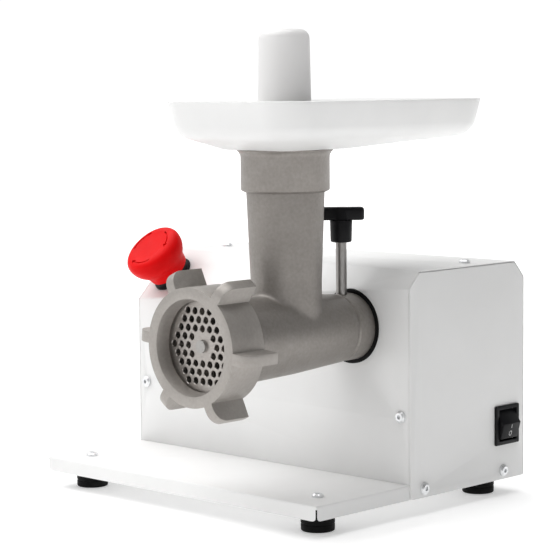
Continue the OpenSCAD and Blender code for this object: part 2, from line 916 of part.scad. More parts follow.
module head_casting() {
    color(cast_grey) place() difference() {
        union() {
            bar(head_axis, barrel_y - 1, spigot_end, spigot_r);
            taper(head_axis, tube_y, barrel_y, 28.8, 25.5);
            taper(head_axis, ring_back + 2, tube_y + 0.01, 31, 28.8);
            taper(head_axis, ring_back - 1, ring_back + 2.01, thread_r - 0.1, 31);
            bar(head_axis, plate_y + 1.5, ring_back - 0.99, thread_r);
            // Feed tube and collar
            translate([head_x, tube_y, head_z]) cylinder(r = 25.7, h = 39.6);
            translate([head_x, tube_y, head_z + 39.5])
                cylinder(r1 = 25.7, r2 = 28.2, h = collar_z - collar_h - head_z - 39.5);
            translate([head_x, tube_y, collar_z - collar_h - 1.2])
                cylinder(r1 = 28.2, r2 = collar_r - 0.6, h = 1.2);
            translate([head_x, tube_y, collar_z - collar_h]) cylinder(r = collar_r, h = collar_h - 0.05);
            translate([head_x, tube_y, collar_z - 4.05]) cylinder(r1 = collar_r, r2 = collar_r + 2.6, h = 4);
            tube_foot();
        }
        // Bore for the auger, knife room, plate seat and rear bearing
        taper(head_axis, plate_back_y + knife_t + 2, auger_back + 0.5, 27.5, 22.6);
        bar(head_axis, plate_back_y - 0.1, plate_back_y + knife_t + 2.01, knife_r + 1.5);
        bar(head_axis, plate_y - 5, plate_back_y, plate_d / 2 + 0.05);
        bar(head_axis, auger_back, spigot_end + 1, shank_r + 0.05);
        bar([head_x, head_z - plate_d / 2], plate_y - 5, plate_back_y + 4, 2.05);
        // Throat and tray socket
        translate([head_x, tube_y, head_z]) cylinder(r = throat_r, h = collar_z - head_z);
        translate([head_x, tube_y, collar_z - socket_h]) cylinder(r = socket_r, h = socket_h + 5);
    }
}

module plate_key_pin() {
    color(steel) place() bar([head_x, head_z - plate_d / 2], plate_y + 1, plate_back_y + 4, 2);
}

// Single helical flight around a core that thins towards the knife
module auger() {
    length = auger_back - auger_front;
    pitch = 36;
    back_r = 21.6;
    front_r = 26.6;
    turns = length / pitch;
    half_width = 32;
    outline = concat(
        [[0, -5]],
        [for (a = [-half_width:half_width / 3:half_width]) back_r * [cos(a), sin(a)]],
        [[0, 5]]
    );
    color([0.66, 0.66, 0.66]) place() {
        translate([head_x, auger_back, head_z]) rotate([90, 0, 0])
            linear_extrude(length, twist = -360 * turns, scale = front_r / back_r, slices = 72, $fn = 12)
                polygon(outline);
        taper(head_axis, auger_front, auger_back, 11, 14);
        bar(head_axis, auger_back - 0.5, auger_back, 20);
        bar(head_axis, auger_back - 1, spigot_end, shank_r);
        square_bar(head_axis, spigot_end - 1, 13.4, tang_w);
        square_bar(head_axis, plate_back_y + 0.2, auger_front + 1, square_w);
        bar(head_axis, plate_y - 2, plate_back_y + 1, stud_r);
    }
}

module knife() {
    front = plate_back_y + 0.1;
    color(steel) place() difference() {
        union() {
            bar(head_axis, front, front + knife_t, 13);
            for (a = [0:90:270])
                slab(head_axis, front, front + knife_t - 2) rotate(a)
                    polygon([[4, -6], [knife_r - 2, -4.5], [knife_r, 2], [knife_r - 1.5, 5.5], [6, 6]]);
        }
        square_bar(head_axis, front - 1, front + knife_t + 1, square_w + 0.3);
        // Hollow ground back of each blade
        for (a = [0:90:270])
            translate([head_x, front + knife_t - 2, head_z]) rotate([0, -a, 0])
                translate([14, 0, 0]) rotate([32, 0, 0]) translate([0, -1, -14]) cube([30, 8, 14]);
    }
}

// Places of the plate's holes on a triangular grid
function plate_holes() =
    let (n = ceil(plate_d / 2 / plate_pitch) + 1, row = plate_pitch * sqrt(3) / 2)
    [
        for (j = [-n:n], i = [-n:n])
            let (p = [plate_pitch * (i + (j % 2 == 0 ? 0 : 0.5)), row * j])
            if (norm(p) > 10.2 && norm(p) < plate_d / 2 - 4.6) p
    ];

module grinding_plate() {
    color(steel) place() difference() {
        bar(head_axis, plate_y, plate_back_y, plate_d / 2);
        bar(head_axis, plate_y - 1, plate_back_y + 1, stud_r + 0.05);
        for (p = plate_holes())
            translate([head_x + p[0], plate_back_y + 1, head_z + p[1]]) rotate([90, 0, 0])
                cylinder(r = plate_hole_d / 2, h = plate_t + 2, $fn = 20);
        bar([head_x, head_z - plate_d / 2], plate_y - 1, plate_back_y + 1, 2.1);
    }
}

// One lug of the ring nut: a bar along Y whose front outer edge is a quarter round
module lug() {
    lug_l = 30.5;
    lug_out = 55.5;
    lug_t = 8;
    lug_in = ring_d / 2 - 1.5;
    round_r = 10;
    outline = concat(
        [[lug_in, 0], [lug_out, 0]],
        [for (a = [0:15:90]) [lug_out - round_r + round_r * cos(a), lug_l - round_r + round_r * sin(a)]],
        [[lug_in, lug_l]]
    );
    rotate([90, 0, 0]) translate([0, 0, -lug_t / 2]) linear_extrude(lug_t) polygon(outline);
}

module ring_nut() {
    lug_start = -5;
    color(cast_grey) place() difference() {
        union() {
            bar(head_axis, -head_reach, ring_back, ring_d / 2);
            for (a = [0:60:300])
                translate([head_x, ring_back, head_z]) rotate([90, 0, 0]) rotate([0, 0, lug_start + a]) lug();
        }
        taper(head_axis, -head_reach - 1, plate_y + 1, plate_d / 2 - 1.8, plate_d / 2 - 3.6);
        bar(head_axis, plate_y - 0.1, ring_back + 1, thread_r + 0.1);
    }
}

// ---------------------------------------------------------------- tray and pusher

tray_cy = tube_y - tray_front + tray_l / 2;

// Thin rounded plate, shrunk by inset, between two heights
module tray_level(inset, z, h) {
    corner = max(27 - inset * 0.6, 6);
    for (sx = [-1, 1], sy = [-1, 1])
        translate([head_x, tray_cy, z])
            translate([sx * (tray_w / 2 - inset - corner), sy * (tray_l / 2 - inset - corner), 0])
                cylinder(r = corner, h = h, $fn = 40);
}

// Solid of the tray with all faces moved in by wall
module tray_bowl(wall) {
    rim = collar_z + tray_h;
    floor_z = collar_z + 7.4 + wall;
    hull() {
        tray_level(wall, rim - 1, 1 + wall);
        tray_level(2.6 + wall, floor_z + 9, 0.2);
        tray_level(4.2 + wall * 0.9, floor_z + 4.8, 0.2);
        tray_level(7.6 + wall * 0.8, floor_z + 1.6, 0.2);
        tray_level(13 + wall * 0.7, floor_z, 0.2);
    }
    hull() {
        tray_level(19 + wall, floor_z, 1);
        translate([head_x - 34 + wall, tube_y - 34 + wall, collar_z + wall])
            cube([68 - 2 * wall, 68 - 2 * wall, 0.2]);
    }
}

module tray() {
    color(white_plastic) place() difference() {
        union() {
            difference() {
                tray_bowl(0);
                tray_bowl(2.4);
            }
            translate([head_x, tube_y, collar_z - socket_h + 0.5])
                cylinder(r = socket_r - 0.05, h = socket_h + 1.8);
        }
        translate([head_x, tube_y, collar_z - socket_h - 1]) cylinder(r = spigot_bore_r, h = socket_h + 20);
    }
}

module pusher() {
    plunger_top = 8;
    plunger_len = 101;
    plunger_top_r = throat_r - 0.5;
    flange_r = 41.5;
    flange_t = 4;
    r = handle_d / 2;
    edge = 7;
    color(white_plastic) place() translate([head_x, tube_y, collar_z]) {
        translate([0, 0, plunger_top - plunger_len + 2])
            cylinder(r1 = plunger_top_r - 1, r2 = plunger_top_r, h = plunger_len - 1.9);
        translate([0, 0, plunger_top - plunger_len])
            cylinder(r1 = plunger_top_r - 3, r2 = plunger_top_r - 1, h = 2);
        translate([0, 0, plunger_top]) cylinder(r = flange_r, h = flange_t);
        translate([0, 0, plunger_top + flange_t - 0.1])
            cylinder(r1 = r + 1.2, r2 = r, h = pusher_top - edge - plunger_top - flange_t + 0.1);
        translate([0, 0, pusher_top - edge]) rotate_extrude() intersection() {
            union() {
                square([r - edge, edge]);
                translate([r - edge, 0]) circle(r = edge);
            }
            square([r, edge]);
        }
    }
}

// ---------------------------------------------------------------- head lock

module lock_rod() {
    color(steel) place() translate([head_x, lock_y, head_z + spigot_r + 1]) {
        cylinder(r1 = lock_rod_r - 1, r2 = lock_rod_r, h = 1);
        translate([0, 0, 1]) cylinder(r = lock_rod_r, h = 188 + 12 - head_z - spigot_r - 2);
    }
}

module lock_knob() {
    knob_z = 188;
    stem_h = 16.4;
    bar_h = 9.6;
    color(dark) place() translate([head_x, lock_y, knob_z]) difference() {
        union() {
            cylinder(r = 8, h = stem_h + 1);
            translate([0, 0, stem_h]) rotate(44) linear_extrude(bar_h) {
                for (s = [-1, 1]) translate([s * 11.5, 0]) circle(r = 5);
                polygon([[-11.5, -5], [0, -6.5], [11.5, -5], [11.5, 5], [0, 6.5], [-11.5, 5]]);
            }
        }
        translate([0, 0, -1]) cylinder(r = lock_rod_r + 0.02, h = 13.1);
    }
}

base_plate();
front_panel();
right_side_panel();
left_side_panel();
top_back_cover();
panel_screws();
foot_front_left();
foot_front_right();
foot_back_left();
foot_back_right();
foot_screws();
foot_nuts();
hub_housing();
hub_seal_ring();
gearbox_housing();
gearbox_screws();
hub_bearing();
output_rear_bush();
stage_bushes();
motor_bearings();
output_shaft();
output_gear();
stage_shaft();
stage_gear();
stage_pinion();
motor_shaft();
motor_pinion();
rotor();
cooling_fan();
motor_front_shield();
motor_rear_shield();
stator_core();
stator_windings();
motor_bolts();
motor_bracket();
run_capacitor();
capacitor_clip();
terminal_block();
wiring();
cord_gland();
gland_nut();
switch_housing();
switch_rocker();
switch_contacts();
estop_collar();
estop_nut();
estop_contact_block();
estop_plunger();
estop_cap();
head_casting();
plate_key_pin();
auger();
knife();
grinding_plate();
ring_nut();
tray();
pusher();
lock_rod();
lock_knob();
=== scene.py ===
import json
import math

import bmesh
import bpy
from mathutils import Matrix, Vector


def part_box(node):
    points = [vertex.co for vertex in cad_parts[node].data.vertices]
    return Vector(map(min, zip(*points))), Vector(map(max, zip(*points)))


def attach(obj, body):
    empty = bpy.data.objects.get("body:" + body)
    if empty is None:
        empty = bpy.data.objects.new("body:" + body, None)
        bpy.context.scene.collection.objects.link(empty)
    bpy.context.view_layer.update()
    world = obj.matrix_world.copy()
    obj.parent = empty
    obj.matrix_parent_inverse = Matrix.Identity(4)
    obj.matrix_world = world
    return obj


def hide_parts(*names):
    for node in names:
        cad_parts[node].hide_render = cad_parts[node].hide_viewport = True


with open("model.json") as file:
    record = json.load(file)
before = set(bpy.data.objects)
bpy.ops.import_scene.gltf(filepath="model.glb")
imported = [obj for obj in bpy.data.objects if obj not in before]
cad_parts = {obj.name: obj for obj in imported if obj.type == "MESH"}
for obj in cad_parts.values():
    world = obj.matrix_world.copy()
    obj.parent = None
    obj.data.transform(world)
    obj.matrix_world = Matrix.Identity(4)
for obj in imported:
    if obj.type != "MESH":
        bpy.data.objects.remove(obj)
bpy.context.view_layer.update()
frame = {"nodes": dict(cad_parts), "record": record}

# Electric meat grinder. Sizes are in millimetres in the machine's own axes: X to the right seen
# from the front, Y to the back, Z up, zero at the middle of the case, its front and its lower edge.
MM = 0.001
CASE_W = 295.0
CASE_D = 135.0
CASE_H = 168.0
SHEET = 1.5
SHELF_D = 100.0
BASE_H = 11.0
SEAM = 0.35
FLANGE = 12.0

# The cover's lip is this thick, and the side panels stop this far under the outline
LIP = 0.5
STEP_DOWN = 1.25

X = Vector((1, 0, 0))
Y = Vector((0, 1, 0))
Z = Vector((0, 0, 1))

# The machine's zero in the frame, from the case's own nodes
ZERO = Vector((
    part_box("right_side_panel")[1].x - CASE_W / 2 * MM,
    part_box("right_side_panel")[0].y,
    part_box("right_side_panel")[0].z,
))

# Bevel between the front and the top, which runs deeper at the left end
BEVEL_BACK = 12.25
BEVEL_DROP_RIGHT = 11.94
BEVEL_DROP_LEFT = 39.1
SLOPE_Y = BEVEL_DROP_RIGHT / BEVEL_BACK
SLOPE_X = (BEVEL_DROP_LEFT - BEVEL_DROP_RIGHT) / CASE_W
BEVEL_NORMAL = Vector((-SLOPE_X, -SLOPE_Y, 1)).normalized()
CHAMFER_BACK = 11.6
CHAMFER_DROP = 12.7
CHAMFER_NORMAL = Vector((0, CHAMFER_DROP, CHAMFER_BACK)).normalized()

# Grinding head: axes of the barrel and the feed tube, top of the collar, radii
HEAD = Vector((89, 0, 124.5))
TUBE = Vector((89, -69, 124.5))
COLLAR_Z = 258.6
COLLAR_H = 29.6
HEAD_REACH = 165.5
TUBE_R = 25.7
BARREL_R = 28.8
THREAD_R = 38.4
RING_R = 42.0
PLATE_R = 35.0

# Feed tray
TRAY_W = 134.0
TRAY_L = 224.0
TRAY_H = 34.4
TRAY_MIDDLE = Vector((TUBE.x, TUBE.y - TRAY_W / 2 + TRAY_L / 2, COLLAR_Z))

# Lock screw, switch, feet and panel screws
LOCK = Vector((89, -10, 188))
SWITCH = Vector((CASE_W / 2, 112.75, 42.25))
BEZEL_W = 28.5
BEZEL_H = 30.5
FOOT_HEIGHT = 22.5
FOOT_X = 123.0
FOOT_FRONT = -74.0
FOOT_BACK = 109.0
SCREW_HOLE = 2.1


def bevel_z(x, y):
    return CASE_H - BEVEL_DROP_RIGHT + SLOPE_Y * y + SLOPE_X * (x - CASE_W / 2)


STOP = Vector((-125, 18.6, bevel_z(-125, 18.6)))
STOP_SCALE = 1.2


def spot(point):
    """A point of the machine in the frame, in metres."""
    return ZERO + Vector(point) * MM


# ------------------------------------------------------------------ bench work

def alone(obj):
    bpy.ops.object.select_all(action="DESELECT")
    obj.select_set(True)
    bpy.context.view_layer.objects.active = obj


def edit(obj):
    alone(obj)
    bpy.ops.object.mode_set(mode="EDIT")
    bpy.ops.mesh.select_all(action="SELECT")


def leave():
    bpy.ops.object.mode_set(mode="OBJECT")


def named(name):
    """Names the new primitive and puts its place into its mesh."""
    obj = bpy.context.object
    obj.name = name
    obj.data.name = name
    bpy.ops.object.transform_apply(location=True, rotation=True, scale=True)
    return obj


def pick(obj, kind, test):
    """Selects in edit mode the faces, edges or vertices that pass the test."""
    bpy.ops.mesh.select_mode(type=kind)
    bpy.ops.mesh.select_all(action="DESELECT")
    mesh = bmesh.from_edit_mesh(obj.data)
    for part in {"FACE": mesh.faces, "EDGE": mesh.edges, "VERT": mesh.verts}[kind]:
        if test(part):
            part.select_set(True)
    bmesh.update_edit_mesh(obj.data)


def here(vertex):
    """Place of a vertex in the machine's millimetres."""
    return (vertex.co - ZERO) / MM


def block(name, low, high):
    low = Vector(low)
    high = Vector(high)
    bpy.ops.object.select_all(action="DESELECT")
    bpy.ops.mesh.primitive_cube_add(size=1, location=spot((low + high) / 2), scale=(high - low) * MM)
    return named(name)


def turned(name, base, axis, profile, sides=96, closed=False):
    """Turns a profile of (radius, height) points about an axis through base."""
    base = Vector(base)
    axis = Vector(axis).normalized()
    radius, height = profile[0]
    bpy.ops.object.select_all(action="DESELECT")
    bpy.ops.mesh.primitive_circle_add(
        vertices=sides, radius=radius * MM, fill_type="NOTHING" if closed else "NGON",
        location=spot(base + axis * height), rotation=axis.to_track_quat("Z", "Y").to_euler(),
    )
    obj = named(name)
    edit(obj)
    for next_radius, next_height in profile[1:]:
        bpy.ops.mesh.extrude_region_move(
            TRANSFORM_OT_translate={"value": axis * (next_height - height) * MM})
        grow = next_radius / radius
        bpy.ops.transform.resize(
            value=(grow, grow, grow), center_override=spot(base + axis * next_height))
        radius, height = next_radius, next_height
    bpy.ops.mesh.select_all(action="SELECT")
    if closed:
        bpy.ops.mesh.remove_doubles(threshold=0.000001)
    bpy.ops.mesh.normals_make_consistent(inside=False)
    leave()
    return obj


def arc(radius, middle, start, end, steps=6):
    """Points (radius, height) of an arc about middle, from start to end degrees."""
    turn = [math.radians(start + (end - start) * i / steps) for i in range(steps + 1)]
    return [(middle[0] + radius * math.cos(a), middle[1] + radius * math.sin(a)) for a in turn]


def combine(obj, tool, way):
    """Adds the tool to a piece, or cuts it away, and deletes the tool."""
    alone(obj)
    step = obj.modifiers.new("shape", "BOOLEAN")
    step.operation = way
    step.solver = "MANIFOLD"
    step.object = tool
    bpy.ops.object.modifier_apply(modifier=step.name)
    alone(tool)
    bpy.ops.object.delete()
    return obj


def cut(obj, tool):
    return combine(obj, tool, "DIFFERENCE")


def weld(obj, tool):
    return combine(obj, tool, "UNION")


def gather(name, pieces):
    """Joins pieces that lie apart into one object."""
    alone(pieces[0])
    for piece in pieces[1:]:
        piece.select_set(True)
    bpy.ops.object.join()
    pieces[0].name = name
    return pieces[0]


def soften(obj, width, steps=3, angle=35):
    """Rounds every edge sharper than the angle."""
    alone(obj)
    edge = obj.modifiers.new("edges", "BEVEL")
    edge.width = width * MM
    edge.segments = steps
    edge.limit_method = "ANGLE"
    edge.angle_limit = math.radians(angle)
    bpy.ops.object.modifier_apply(modifier=edge.name)
    return obj


def round_edges(obj, test, width, steps=6):
    """Rounds the edges of a piece that pass the test."""
    edit(obj)
    pick(obj, "EDGE", test)
    bpy.ops.mesh.bevel(offset=width * MM, segments=steps, affect="EDGES")
    leave()
    return obj


def thicken(obj, wall):
    """Gives a shell its wall on the inner side."""
    alone(obj)
    layer = obj.modifiers.new("wall", "SOLIDIFY")
    layer.thickness = wall * MM
    layer.offset = -1
    layer.use_even_offset = True
    bpy.ops.object.modifier_apply(modifier=layer.name)
    return obj


def slice_off(obj, point, normal):
    """Cuts off what lies outside a plane and closes the cut."""
    edit(obj)
    bpy.ops.mesh.bisect(plane_co=spot(point), plane_no=normal, use_fill=True, clear_outer=True)
    leave()


def lies_along(edge, direction):
    a, b = edge.verts
    return abs((b.co - a.co).normalized().dot(direction)) > 0.999


def finish(obj, material, slot, body, *nodes, smooth=35):
    alone(obj)
    bpy.ops.object.shade_smooth_by_angle(angle=math.radians(smooth))
    obj.data.materials.clear()
    obj.data.materials.append(material)
    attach(obj, body)
    if nodes:
        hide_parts(*nodes)
    return obj


# ------------------------------------------------------------------ finishes

def new_finish(name, colour, metal, rough):
    material = bpy.data.materials.new(name)
    material.use_nodes = True
    shader = material.node_tree.nodes["Principled BSDF"]
    shader.inputs["Base Color"].default_value = (*colour, 1)
    shader.inputs["Metallic"].default_value = metal
    shader.inputs["Roughness"].default_value = rough
    return material


def shader_of(material):
    return material.node_tree.nodes["Principled BSDF"]


def noise(material, scale, detail=2.0, stretch=None):
    """Noise on the piece's own coordinates; scale is in waves a metre."""
    nodes = material.node_tree.nodes
    links = material.node_tree.links
    where = nodes.new("ShaderNodeTexCoord")
    wave = nodes.new("ShaderNodeTexNoise")
    wave.inputs["Scale"].default_value = scale
    wave.inputs["Detail"].default_value = detail
    place = where.outputs["Object"]
    if stretch:
        mapping = nodes.new("ShaderNodeMapping")
        mapping.inputs["Scale"].default_value = stretch
        links.new(place, mapping.inputs["Vector"])
        place = mapping.outputs["Vector"]
    links.new(place, wave.inputs["Vector"])
    return wave.outputs["Fac"]


def grain(material, scale, depth, detail=2.0, stretch=None):
    """Raises and sinks the surface by a depth in millimetres."""
    nodes = material.node_tree.nodes
    links = material.node_tree.links
    shader = shader_of(material)
    bump = nodes.new("ShaderNodeBump")
    bump.inputs["Strength"].default_value = 1.0
    bump.inputs["Distance"].default_value = depth * MM
    links.new(noise(material, scale, detail, stretch), bump.inputs["Height"])
    if shader.inputs["Normal"].is_linked:
        links.new(shader.inputs["Normal"].links[0].from_socket, bump.inputs["Normal"])
    links.new(bump.outputs["Normal"], shader.inputs["Normal"])


def mottle(material, scale, dark, light, low=0.35, high=0.65, detail=3.0, stretch=None):
    """Lets the colour wander between two shades."""
    nodes = material.node_tree.nodes
    links = material.node_tree.links
    ramp = nodes.new("ShaderNodeValToRGB")
    ramp.color_ramp.elements[0].position = low
    ramp.color_ramp.elements[0].color = (*dark, 1)
    ramp.color_ramp.elements[1].position = high
    ramp.color_ramp.elements[1].color = (*light, 1)
    links.new(noise(material, scale, detail, stretch), ramp.inputs["Fac"])
    links.new(ramp.outputs["Color"], shader_of(material).inputs["Base Color"])


def wear(material, scale, low, high, stretch=None):
    """Lets the roughness wander between two values."""
    nodes = material.node_tree.nodes
    links = material.node_tree.links
    span = nodes.new("ShaderNodeMapRange")
    span.inputs["From Min"].default_value = 0.3
    span.inputs["From Max"].default_value = 0.7
    span.inputs["To Min"].default_value = low
    span.inputs["To Max"].default_value = high
    links.new(noise(material, scale, 2.0, stretch), span.inputs["Value"])
    links.new(span.outputs["Result"], shader_of(material).inputs["Roughness"])


def powder_coat():
    material = new_finish("powder_coat", (0.8, 0.8, 0.795), 0.0, 0.42)
    mottle(material, 18, (0.785, 0.785, 0.78), (0.81, 0.81, 0.805))
    wear(material, 40, 0.38, 0.46)
    grain(material, 1100, 0.02)
    grain(material, 220, 0.015)
    return material


def tinned_casting(name, dark, light):
    material = new_finish(name, light, 0.55, 0.5)
    mottle(material, 420, dark, light, 0.3, 0.7, 6.0)
    wear(material, 90, 0.42, 0.52)
    grain(material, 1500, 0.03, 3.0)
    grain(material, 260, 0.05, 2.0)
    return material


def plated_screw():
    material = new_finish("zinc_plate", (0.82, 0.83, 0.84), 0.75, 0.32)
    mottle(material, 300, (0.76, 0.77, 0.78), (0.86, 0.87, 0.88))
    wear(material, 500, 0.26, 0.4)
    grain(material, 900, 0.006)
    return material


def ground_steel(name, dark, light, stretch):
    """Steel with fine grinding marks drawn out along one way."""
    material = new_finish(name, light, 0.9, 0.34)
    mottle(material, 260, dark, light, 0.3, 0.7, 3.0, stretch)
    wear(material, 300, 0.28, 0.44, stretch)
    grain(material, 700, 0.008, 3.0, stretch)
    return material


def moulded_black():
    material = new_finish("moulded_black", (0.007, 0.007, 0.008), 0.0, 0.38)
    mottle(material, 60, (0.005, 0.005, 0.006), (0.009, 0.009, 0.010))
    wear(material, 120, 0.32, 0.46)
    grain(material, 1600, 0.02)
    shader_of(material).inputs["Specular IOR Level"].default_value = 0.14
    return material


def soft_rubber():
    material = new_finish("soft_rubber", (0.006, 0.006, 0.006), 0.0, 0.55)
    mottle(material, 90, (0.004, 0.004, 0.004), (0.008, 0.008, 0.008))
    wear(material, 200, 0.48, 0.62)
    grain(material, 900, 0.03)
    shader_of(material).inputs["Specular IOR Level"].default_value = 0.1
    return material


def red_plastic():
    material = new_finish("red_satin", (0.7, 0.002, 0.003), 0.0, 0.45)
    mottle(material, 50, (0.67, 0.002, 0.003), (0.73, 0.003, 0.004))
    wear(material, 150, 0.4, 0.5)
    grain(material, 1300, 0.012)
    shader_of(material).inputs["Specular IOR Level"].default_value = 0.08
    return material


def white_moulding(name, dark, light):
    material = new_finish(name, light, 0.0, 0.36)
    mottle(material, 14, dark, light)
    wear(material, 60, 0.32, 0.42)
    grain(material, 700, 0.012)
    shader_of(material).inputs["Subsurface Weight"].default_value = 0.15
    shader_of(material).inputs["Subsurface Radius"].default_value = (0.004, 0.004, 0.004)
    return material


def plain_moulding(name, colour, rough):
    material = new_finish(name, colour, 0.0, rough)
    paler = tuple(min(1.0, c * 1.12) for c in colour)
    mottle(material, 120, colour, paler)
    wear(material, 200, rough * 0.85, rough * 1.15)
    grain(material, 900, 0.01)
    return material


def plain_metal(name, colour, rough, sand=0.01):
    material = new_finish(name, colour, 0.9, rough)
    paler = tuple(min(1.0, c * 1.15) for c in colour)
    mottle(material, 200, colour, paler)
    wear(material, 250, rough * 0.8, rough * 1.2)
    grain(material, 900, sand)
    return material


def switch_mark():
    material = new_finish("switch_mark", (0.5, 0.5, 0.5), 0.0, 0.5)
    mottle(material, 800, (0.42, 0.42, 0.42), (0.58, 0.58, 0.58))
    grain(material, 1500, 0.01)
    return material


FINISH = {
    "white_enamel": powder_coat(),
    "zinc_steel": plated_screw(),
    "black_rubber": soft_rubber(),
    "cast_grey": tinned_casting("tinned_casting", (0.245, 0.226, 0.208), (0.285, 0.265, 0.246)),
    "cast_auger": tinned_casting("tinned_auger", (0.36, 0.35, 0.335), (0.42, 0.41, 0.395)),
    "gearbox_alloy": plain_metal("gearbox_alloy", (0.52, 0.53, 0.54), 0.5, 0.03),
    "bearing_steel": plain_metal("bearing_steel", (0.55, 0.56, 0.58), 0.25),
    "bronze": plain_metal("bronze", (0.6, 0.42, 0.2), 0.38),
    "gear_nylon": plain_moulding("gear_nylon", (0.74, 0.71, 0.6), 0.45),
    "core_steel": plain_metal("core_steel", (0.2, 0.205, 0.215), 0.5),
    "copper_wire": plain_metal("copper_wire", (0.5, 0.2, 0.08), 0.35, 0.05),
    "can_aluminium": plain_metal("can_aluminium", (0.68, 0.69, 0.7), 0.3),
    "blade_steel": ground_steel("blade_steel", (0.34, 0.315, 0.295), (0.42, 0.395, 0.372), (1, 6, 6)),
    "wire_sleeve": plain_moulding("wire_sleeve", (0.03, 0.07, 0.3), 0.4),
    "black_plastic": moulded_black(),
    "red_plastic": red_plastic(),
    "white_plastic": white_moulding("white_moulding", (0.76, 0.76, 0.755), (0.80, 0.80, 0.795)),
}
pusher_finish = white_moulding("clear_white_moulding", (0.76, 0.752, 0.748), (0.79, 0.782, 0.778))
ring_finish = tinned_casting("tinned_ring", (0.335, 0.312, 0.29), (0.375, 0.351, 0.328))
rod_finish = ground_steel("rod_steel", (0.26, 0.25, 0.24), (0.34, 0.33, 0.32), (6, 6, 1))


def dress_inner_pieces():
    """Gives every node of the frame its finish by the record's slot."""
    for part in frame["record"]["subparts"]:
        obj = frame["nodes"][part["node"]]
        obj.data.materials.clear()
        obj.data.materials.append(FINISH[part["material_slot"]])


# ------------------------------------------------------------------ case

def hole(point, axis, radius, reach=8.0, sides=48):
    """A round punch through a sheet."""
    profile = [(radius, -reach), (radius, reach)]
    return turned("punch", point, axis, profile, sides)


def slot_punch(low, high, axis):
    """A punch for a vent slot with round ends."""
    punch = block("punch", low, high)
    size = Vector(high) - Vector(low)
    narrow = min(size[i] for i in range(3) if abs(axis[i]) < 0.5)
    return round_edges(punch, lambda e: lies_along(e, axis), narrow * 0.499, 6)


def case_shell(name, low, high, keep, fold, wall=SHEET):
    """Folds a sheet round the case: the kept faces of its block, with rounded folds."""
    obj = block(name, low, high)
    slice_off(obj, (CASE_W / 2, 0, bevel_z(CASE_W / 2, 0)), BEVEL_NORMAL)
    slice_off(obj, (0, CASE_D, CASE_H - CHAMFER_DROP), CHAMFER_NORMAL)
    edit(obj)
    pick(obj, "FACE", lambda f: not any(f.normal.dot(n) > 0.999 for n in keep))
    bpy.ops.mesh.delete(type="FACE")
    leave()
    round_edges(obj, lambda e: len(e.link_faces) == 2, fold, 4)
    return thicken(obj, wall)


def make_front_panel():
    """Front and bevel in one sheet, with the hub's hole and the stop button's hole."""
    edge = CASE_W / 2 - SHEET - SEAM
    panel = case_shell(
        "front_sheet", (-edge, 0, BASE_H + 0.1), (edge, 60, CASE_H), (-Y, BEVEL_NORMAL), 1.1)
    cut(panel, turned("punch", HEAD, Y, [(28, -5), (28, 10)], 96))
    cut(panel, hole(STOP, BEVEL_NORMAL, 11.2 * STOP_SCALE, 6))
    screws = [hole((side * 138, 0, 61), Y, SCREW_HOLE) for side in (-1, 1)]
    cut(panel, gather("punches", screws))
    soften(panel, 0.25, 2)
    finish(panel, FINISH["white_enamel"], "white_enamel", "machine", "front_panel")


def make_top_back_cover():
    """Top, chamfer and back in one sheet, with vents, the cord's hole and a lip at each side."""
    edge = CASE_W / 2 - SHEET - SEAM
    cover = case_shell(
        "top_back_sheet", (-edge, 5, 0.3), (edge, CASE_D, CASE_H), (Z, Y, CHAMFER_NORMAL, X, -X), 1.3)
    # Its sides are folded in as narrow flanges behind the side panels
    cut(cover, block("trim", (-edge - 2, 0, -2), (edge + 2, CASE_D - FLANGE, CASE_H - FLANGE)))
    # A thin lip reaches out over the side panels, with a shadow gap under it
    reach = CASE_W / 2 - 0.2
    lip = case_shell(
        "lip", (-reach, 5, 0.3), (reach, CASE_D, CASE_H), (Z, Y, CHAMFER_NORMAL), 1.3, LIP)
    cut(lip, block("middle", (-edge + 1, 0, -2), (edge - 1, CASE_D + 9, CASE_H + 9)))
    weld(cover, lip)
    punches = []
    for row in (62, 96):
        for i in range(9):
            x = -80 + i * 20
            punches.append(slot_punch(
                (x, CASE_D - 5, row - 2.5), (x + 5, CASE_D + 5, row + 26.5), Y))
    punches.append(hole((108, CASE_D, 34), Y, 7.2, 4))
    punches += [hole((side * 129, 85, CASE_H), Z, SCREW_HOLE) for side in (-1, 1)]
    punches += [hole((side * 138, CASE_D, z), Y, SCREW_HOLE) for side in (-1, 1) for z in (40, 120)]
    cut(cover, gather("punches", punches))
    soften(cover, 0.25, 2)
    finish(cover, FINISH["white_enamel"], "white_enamel", "machine", "top_back_cover")


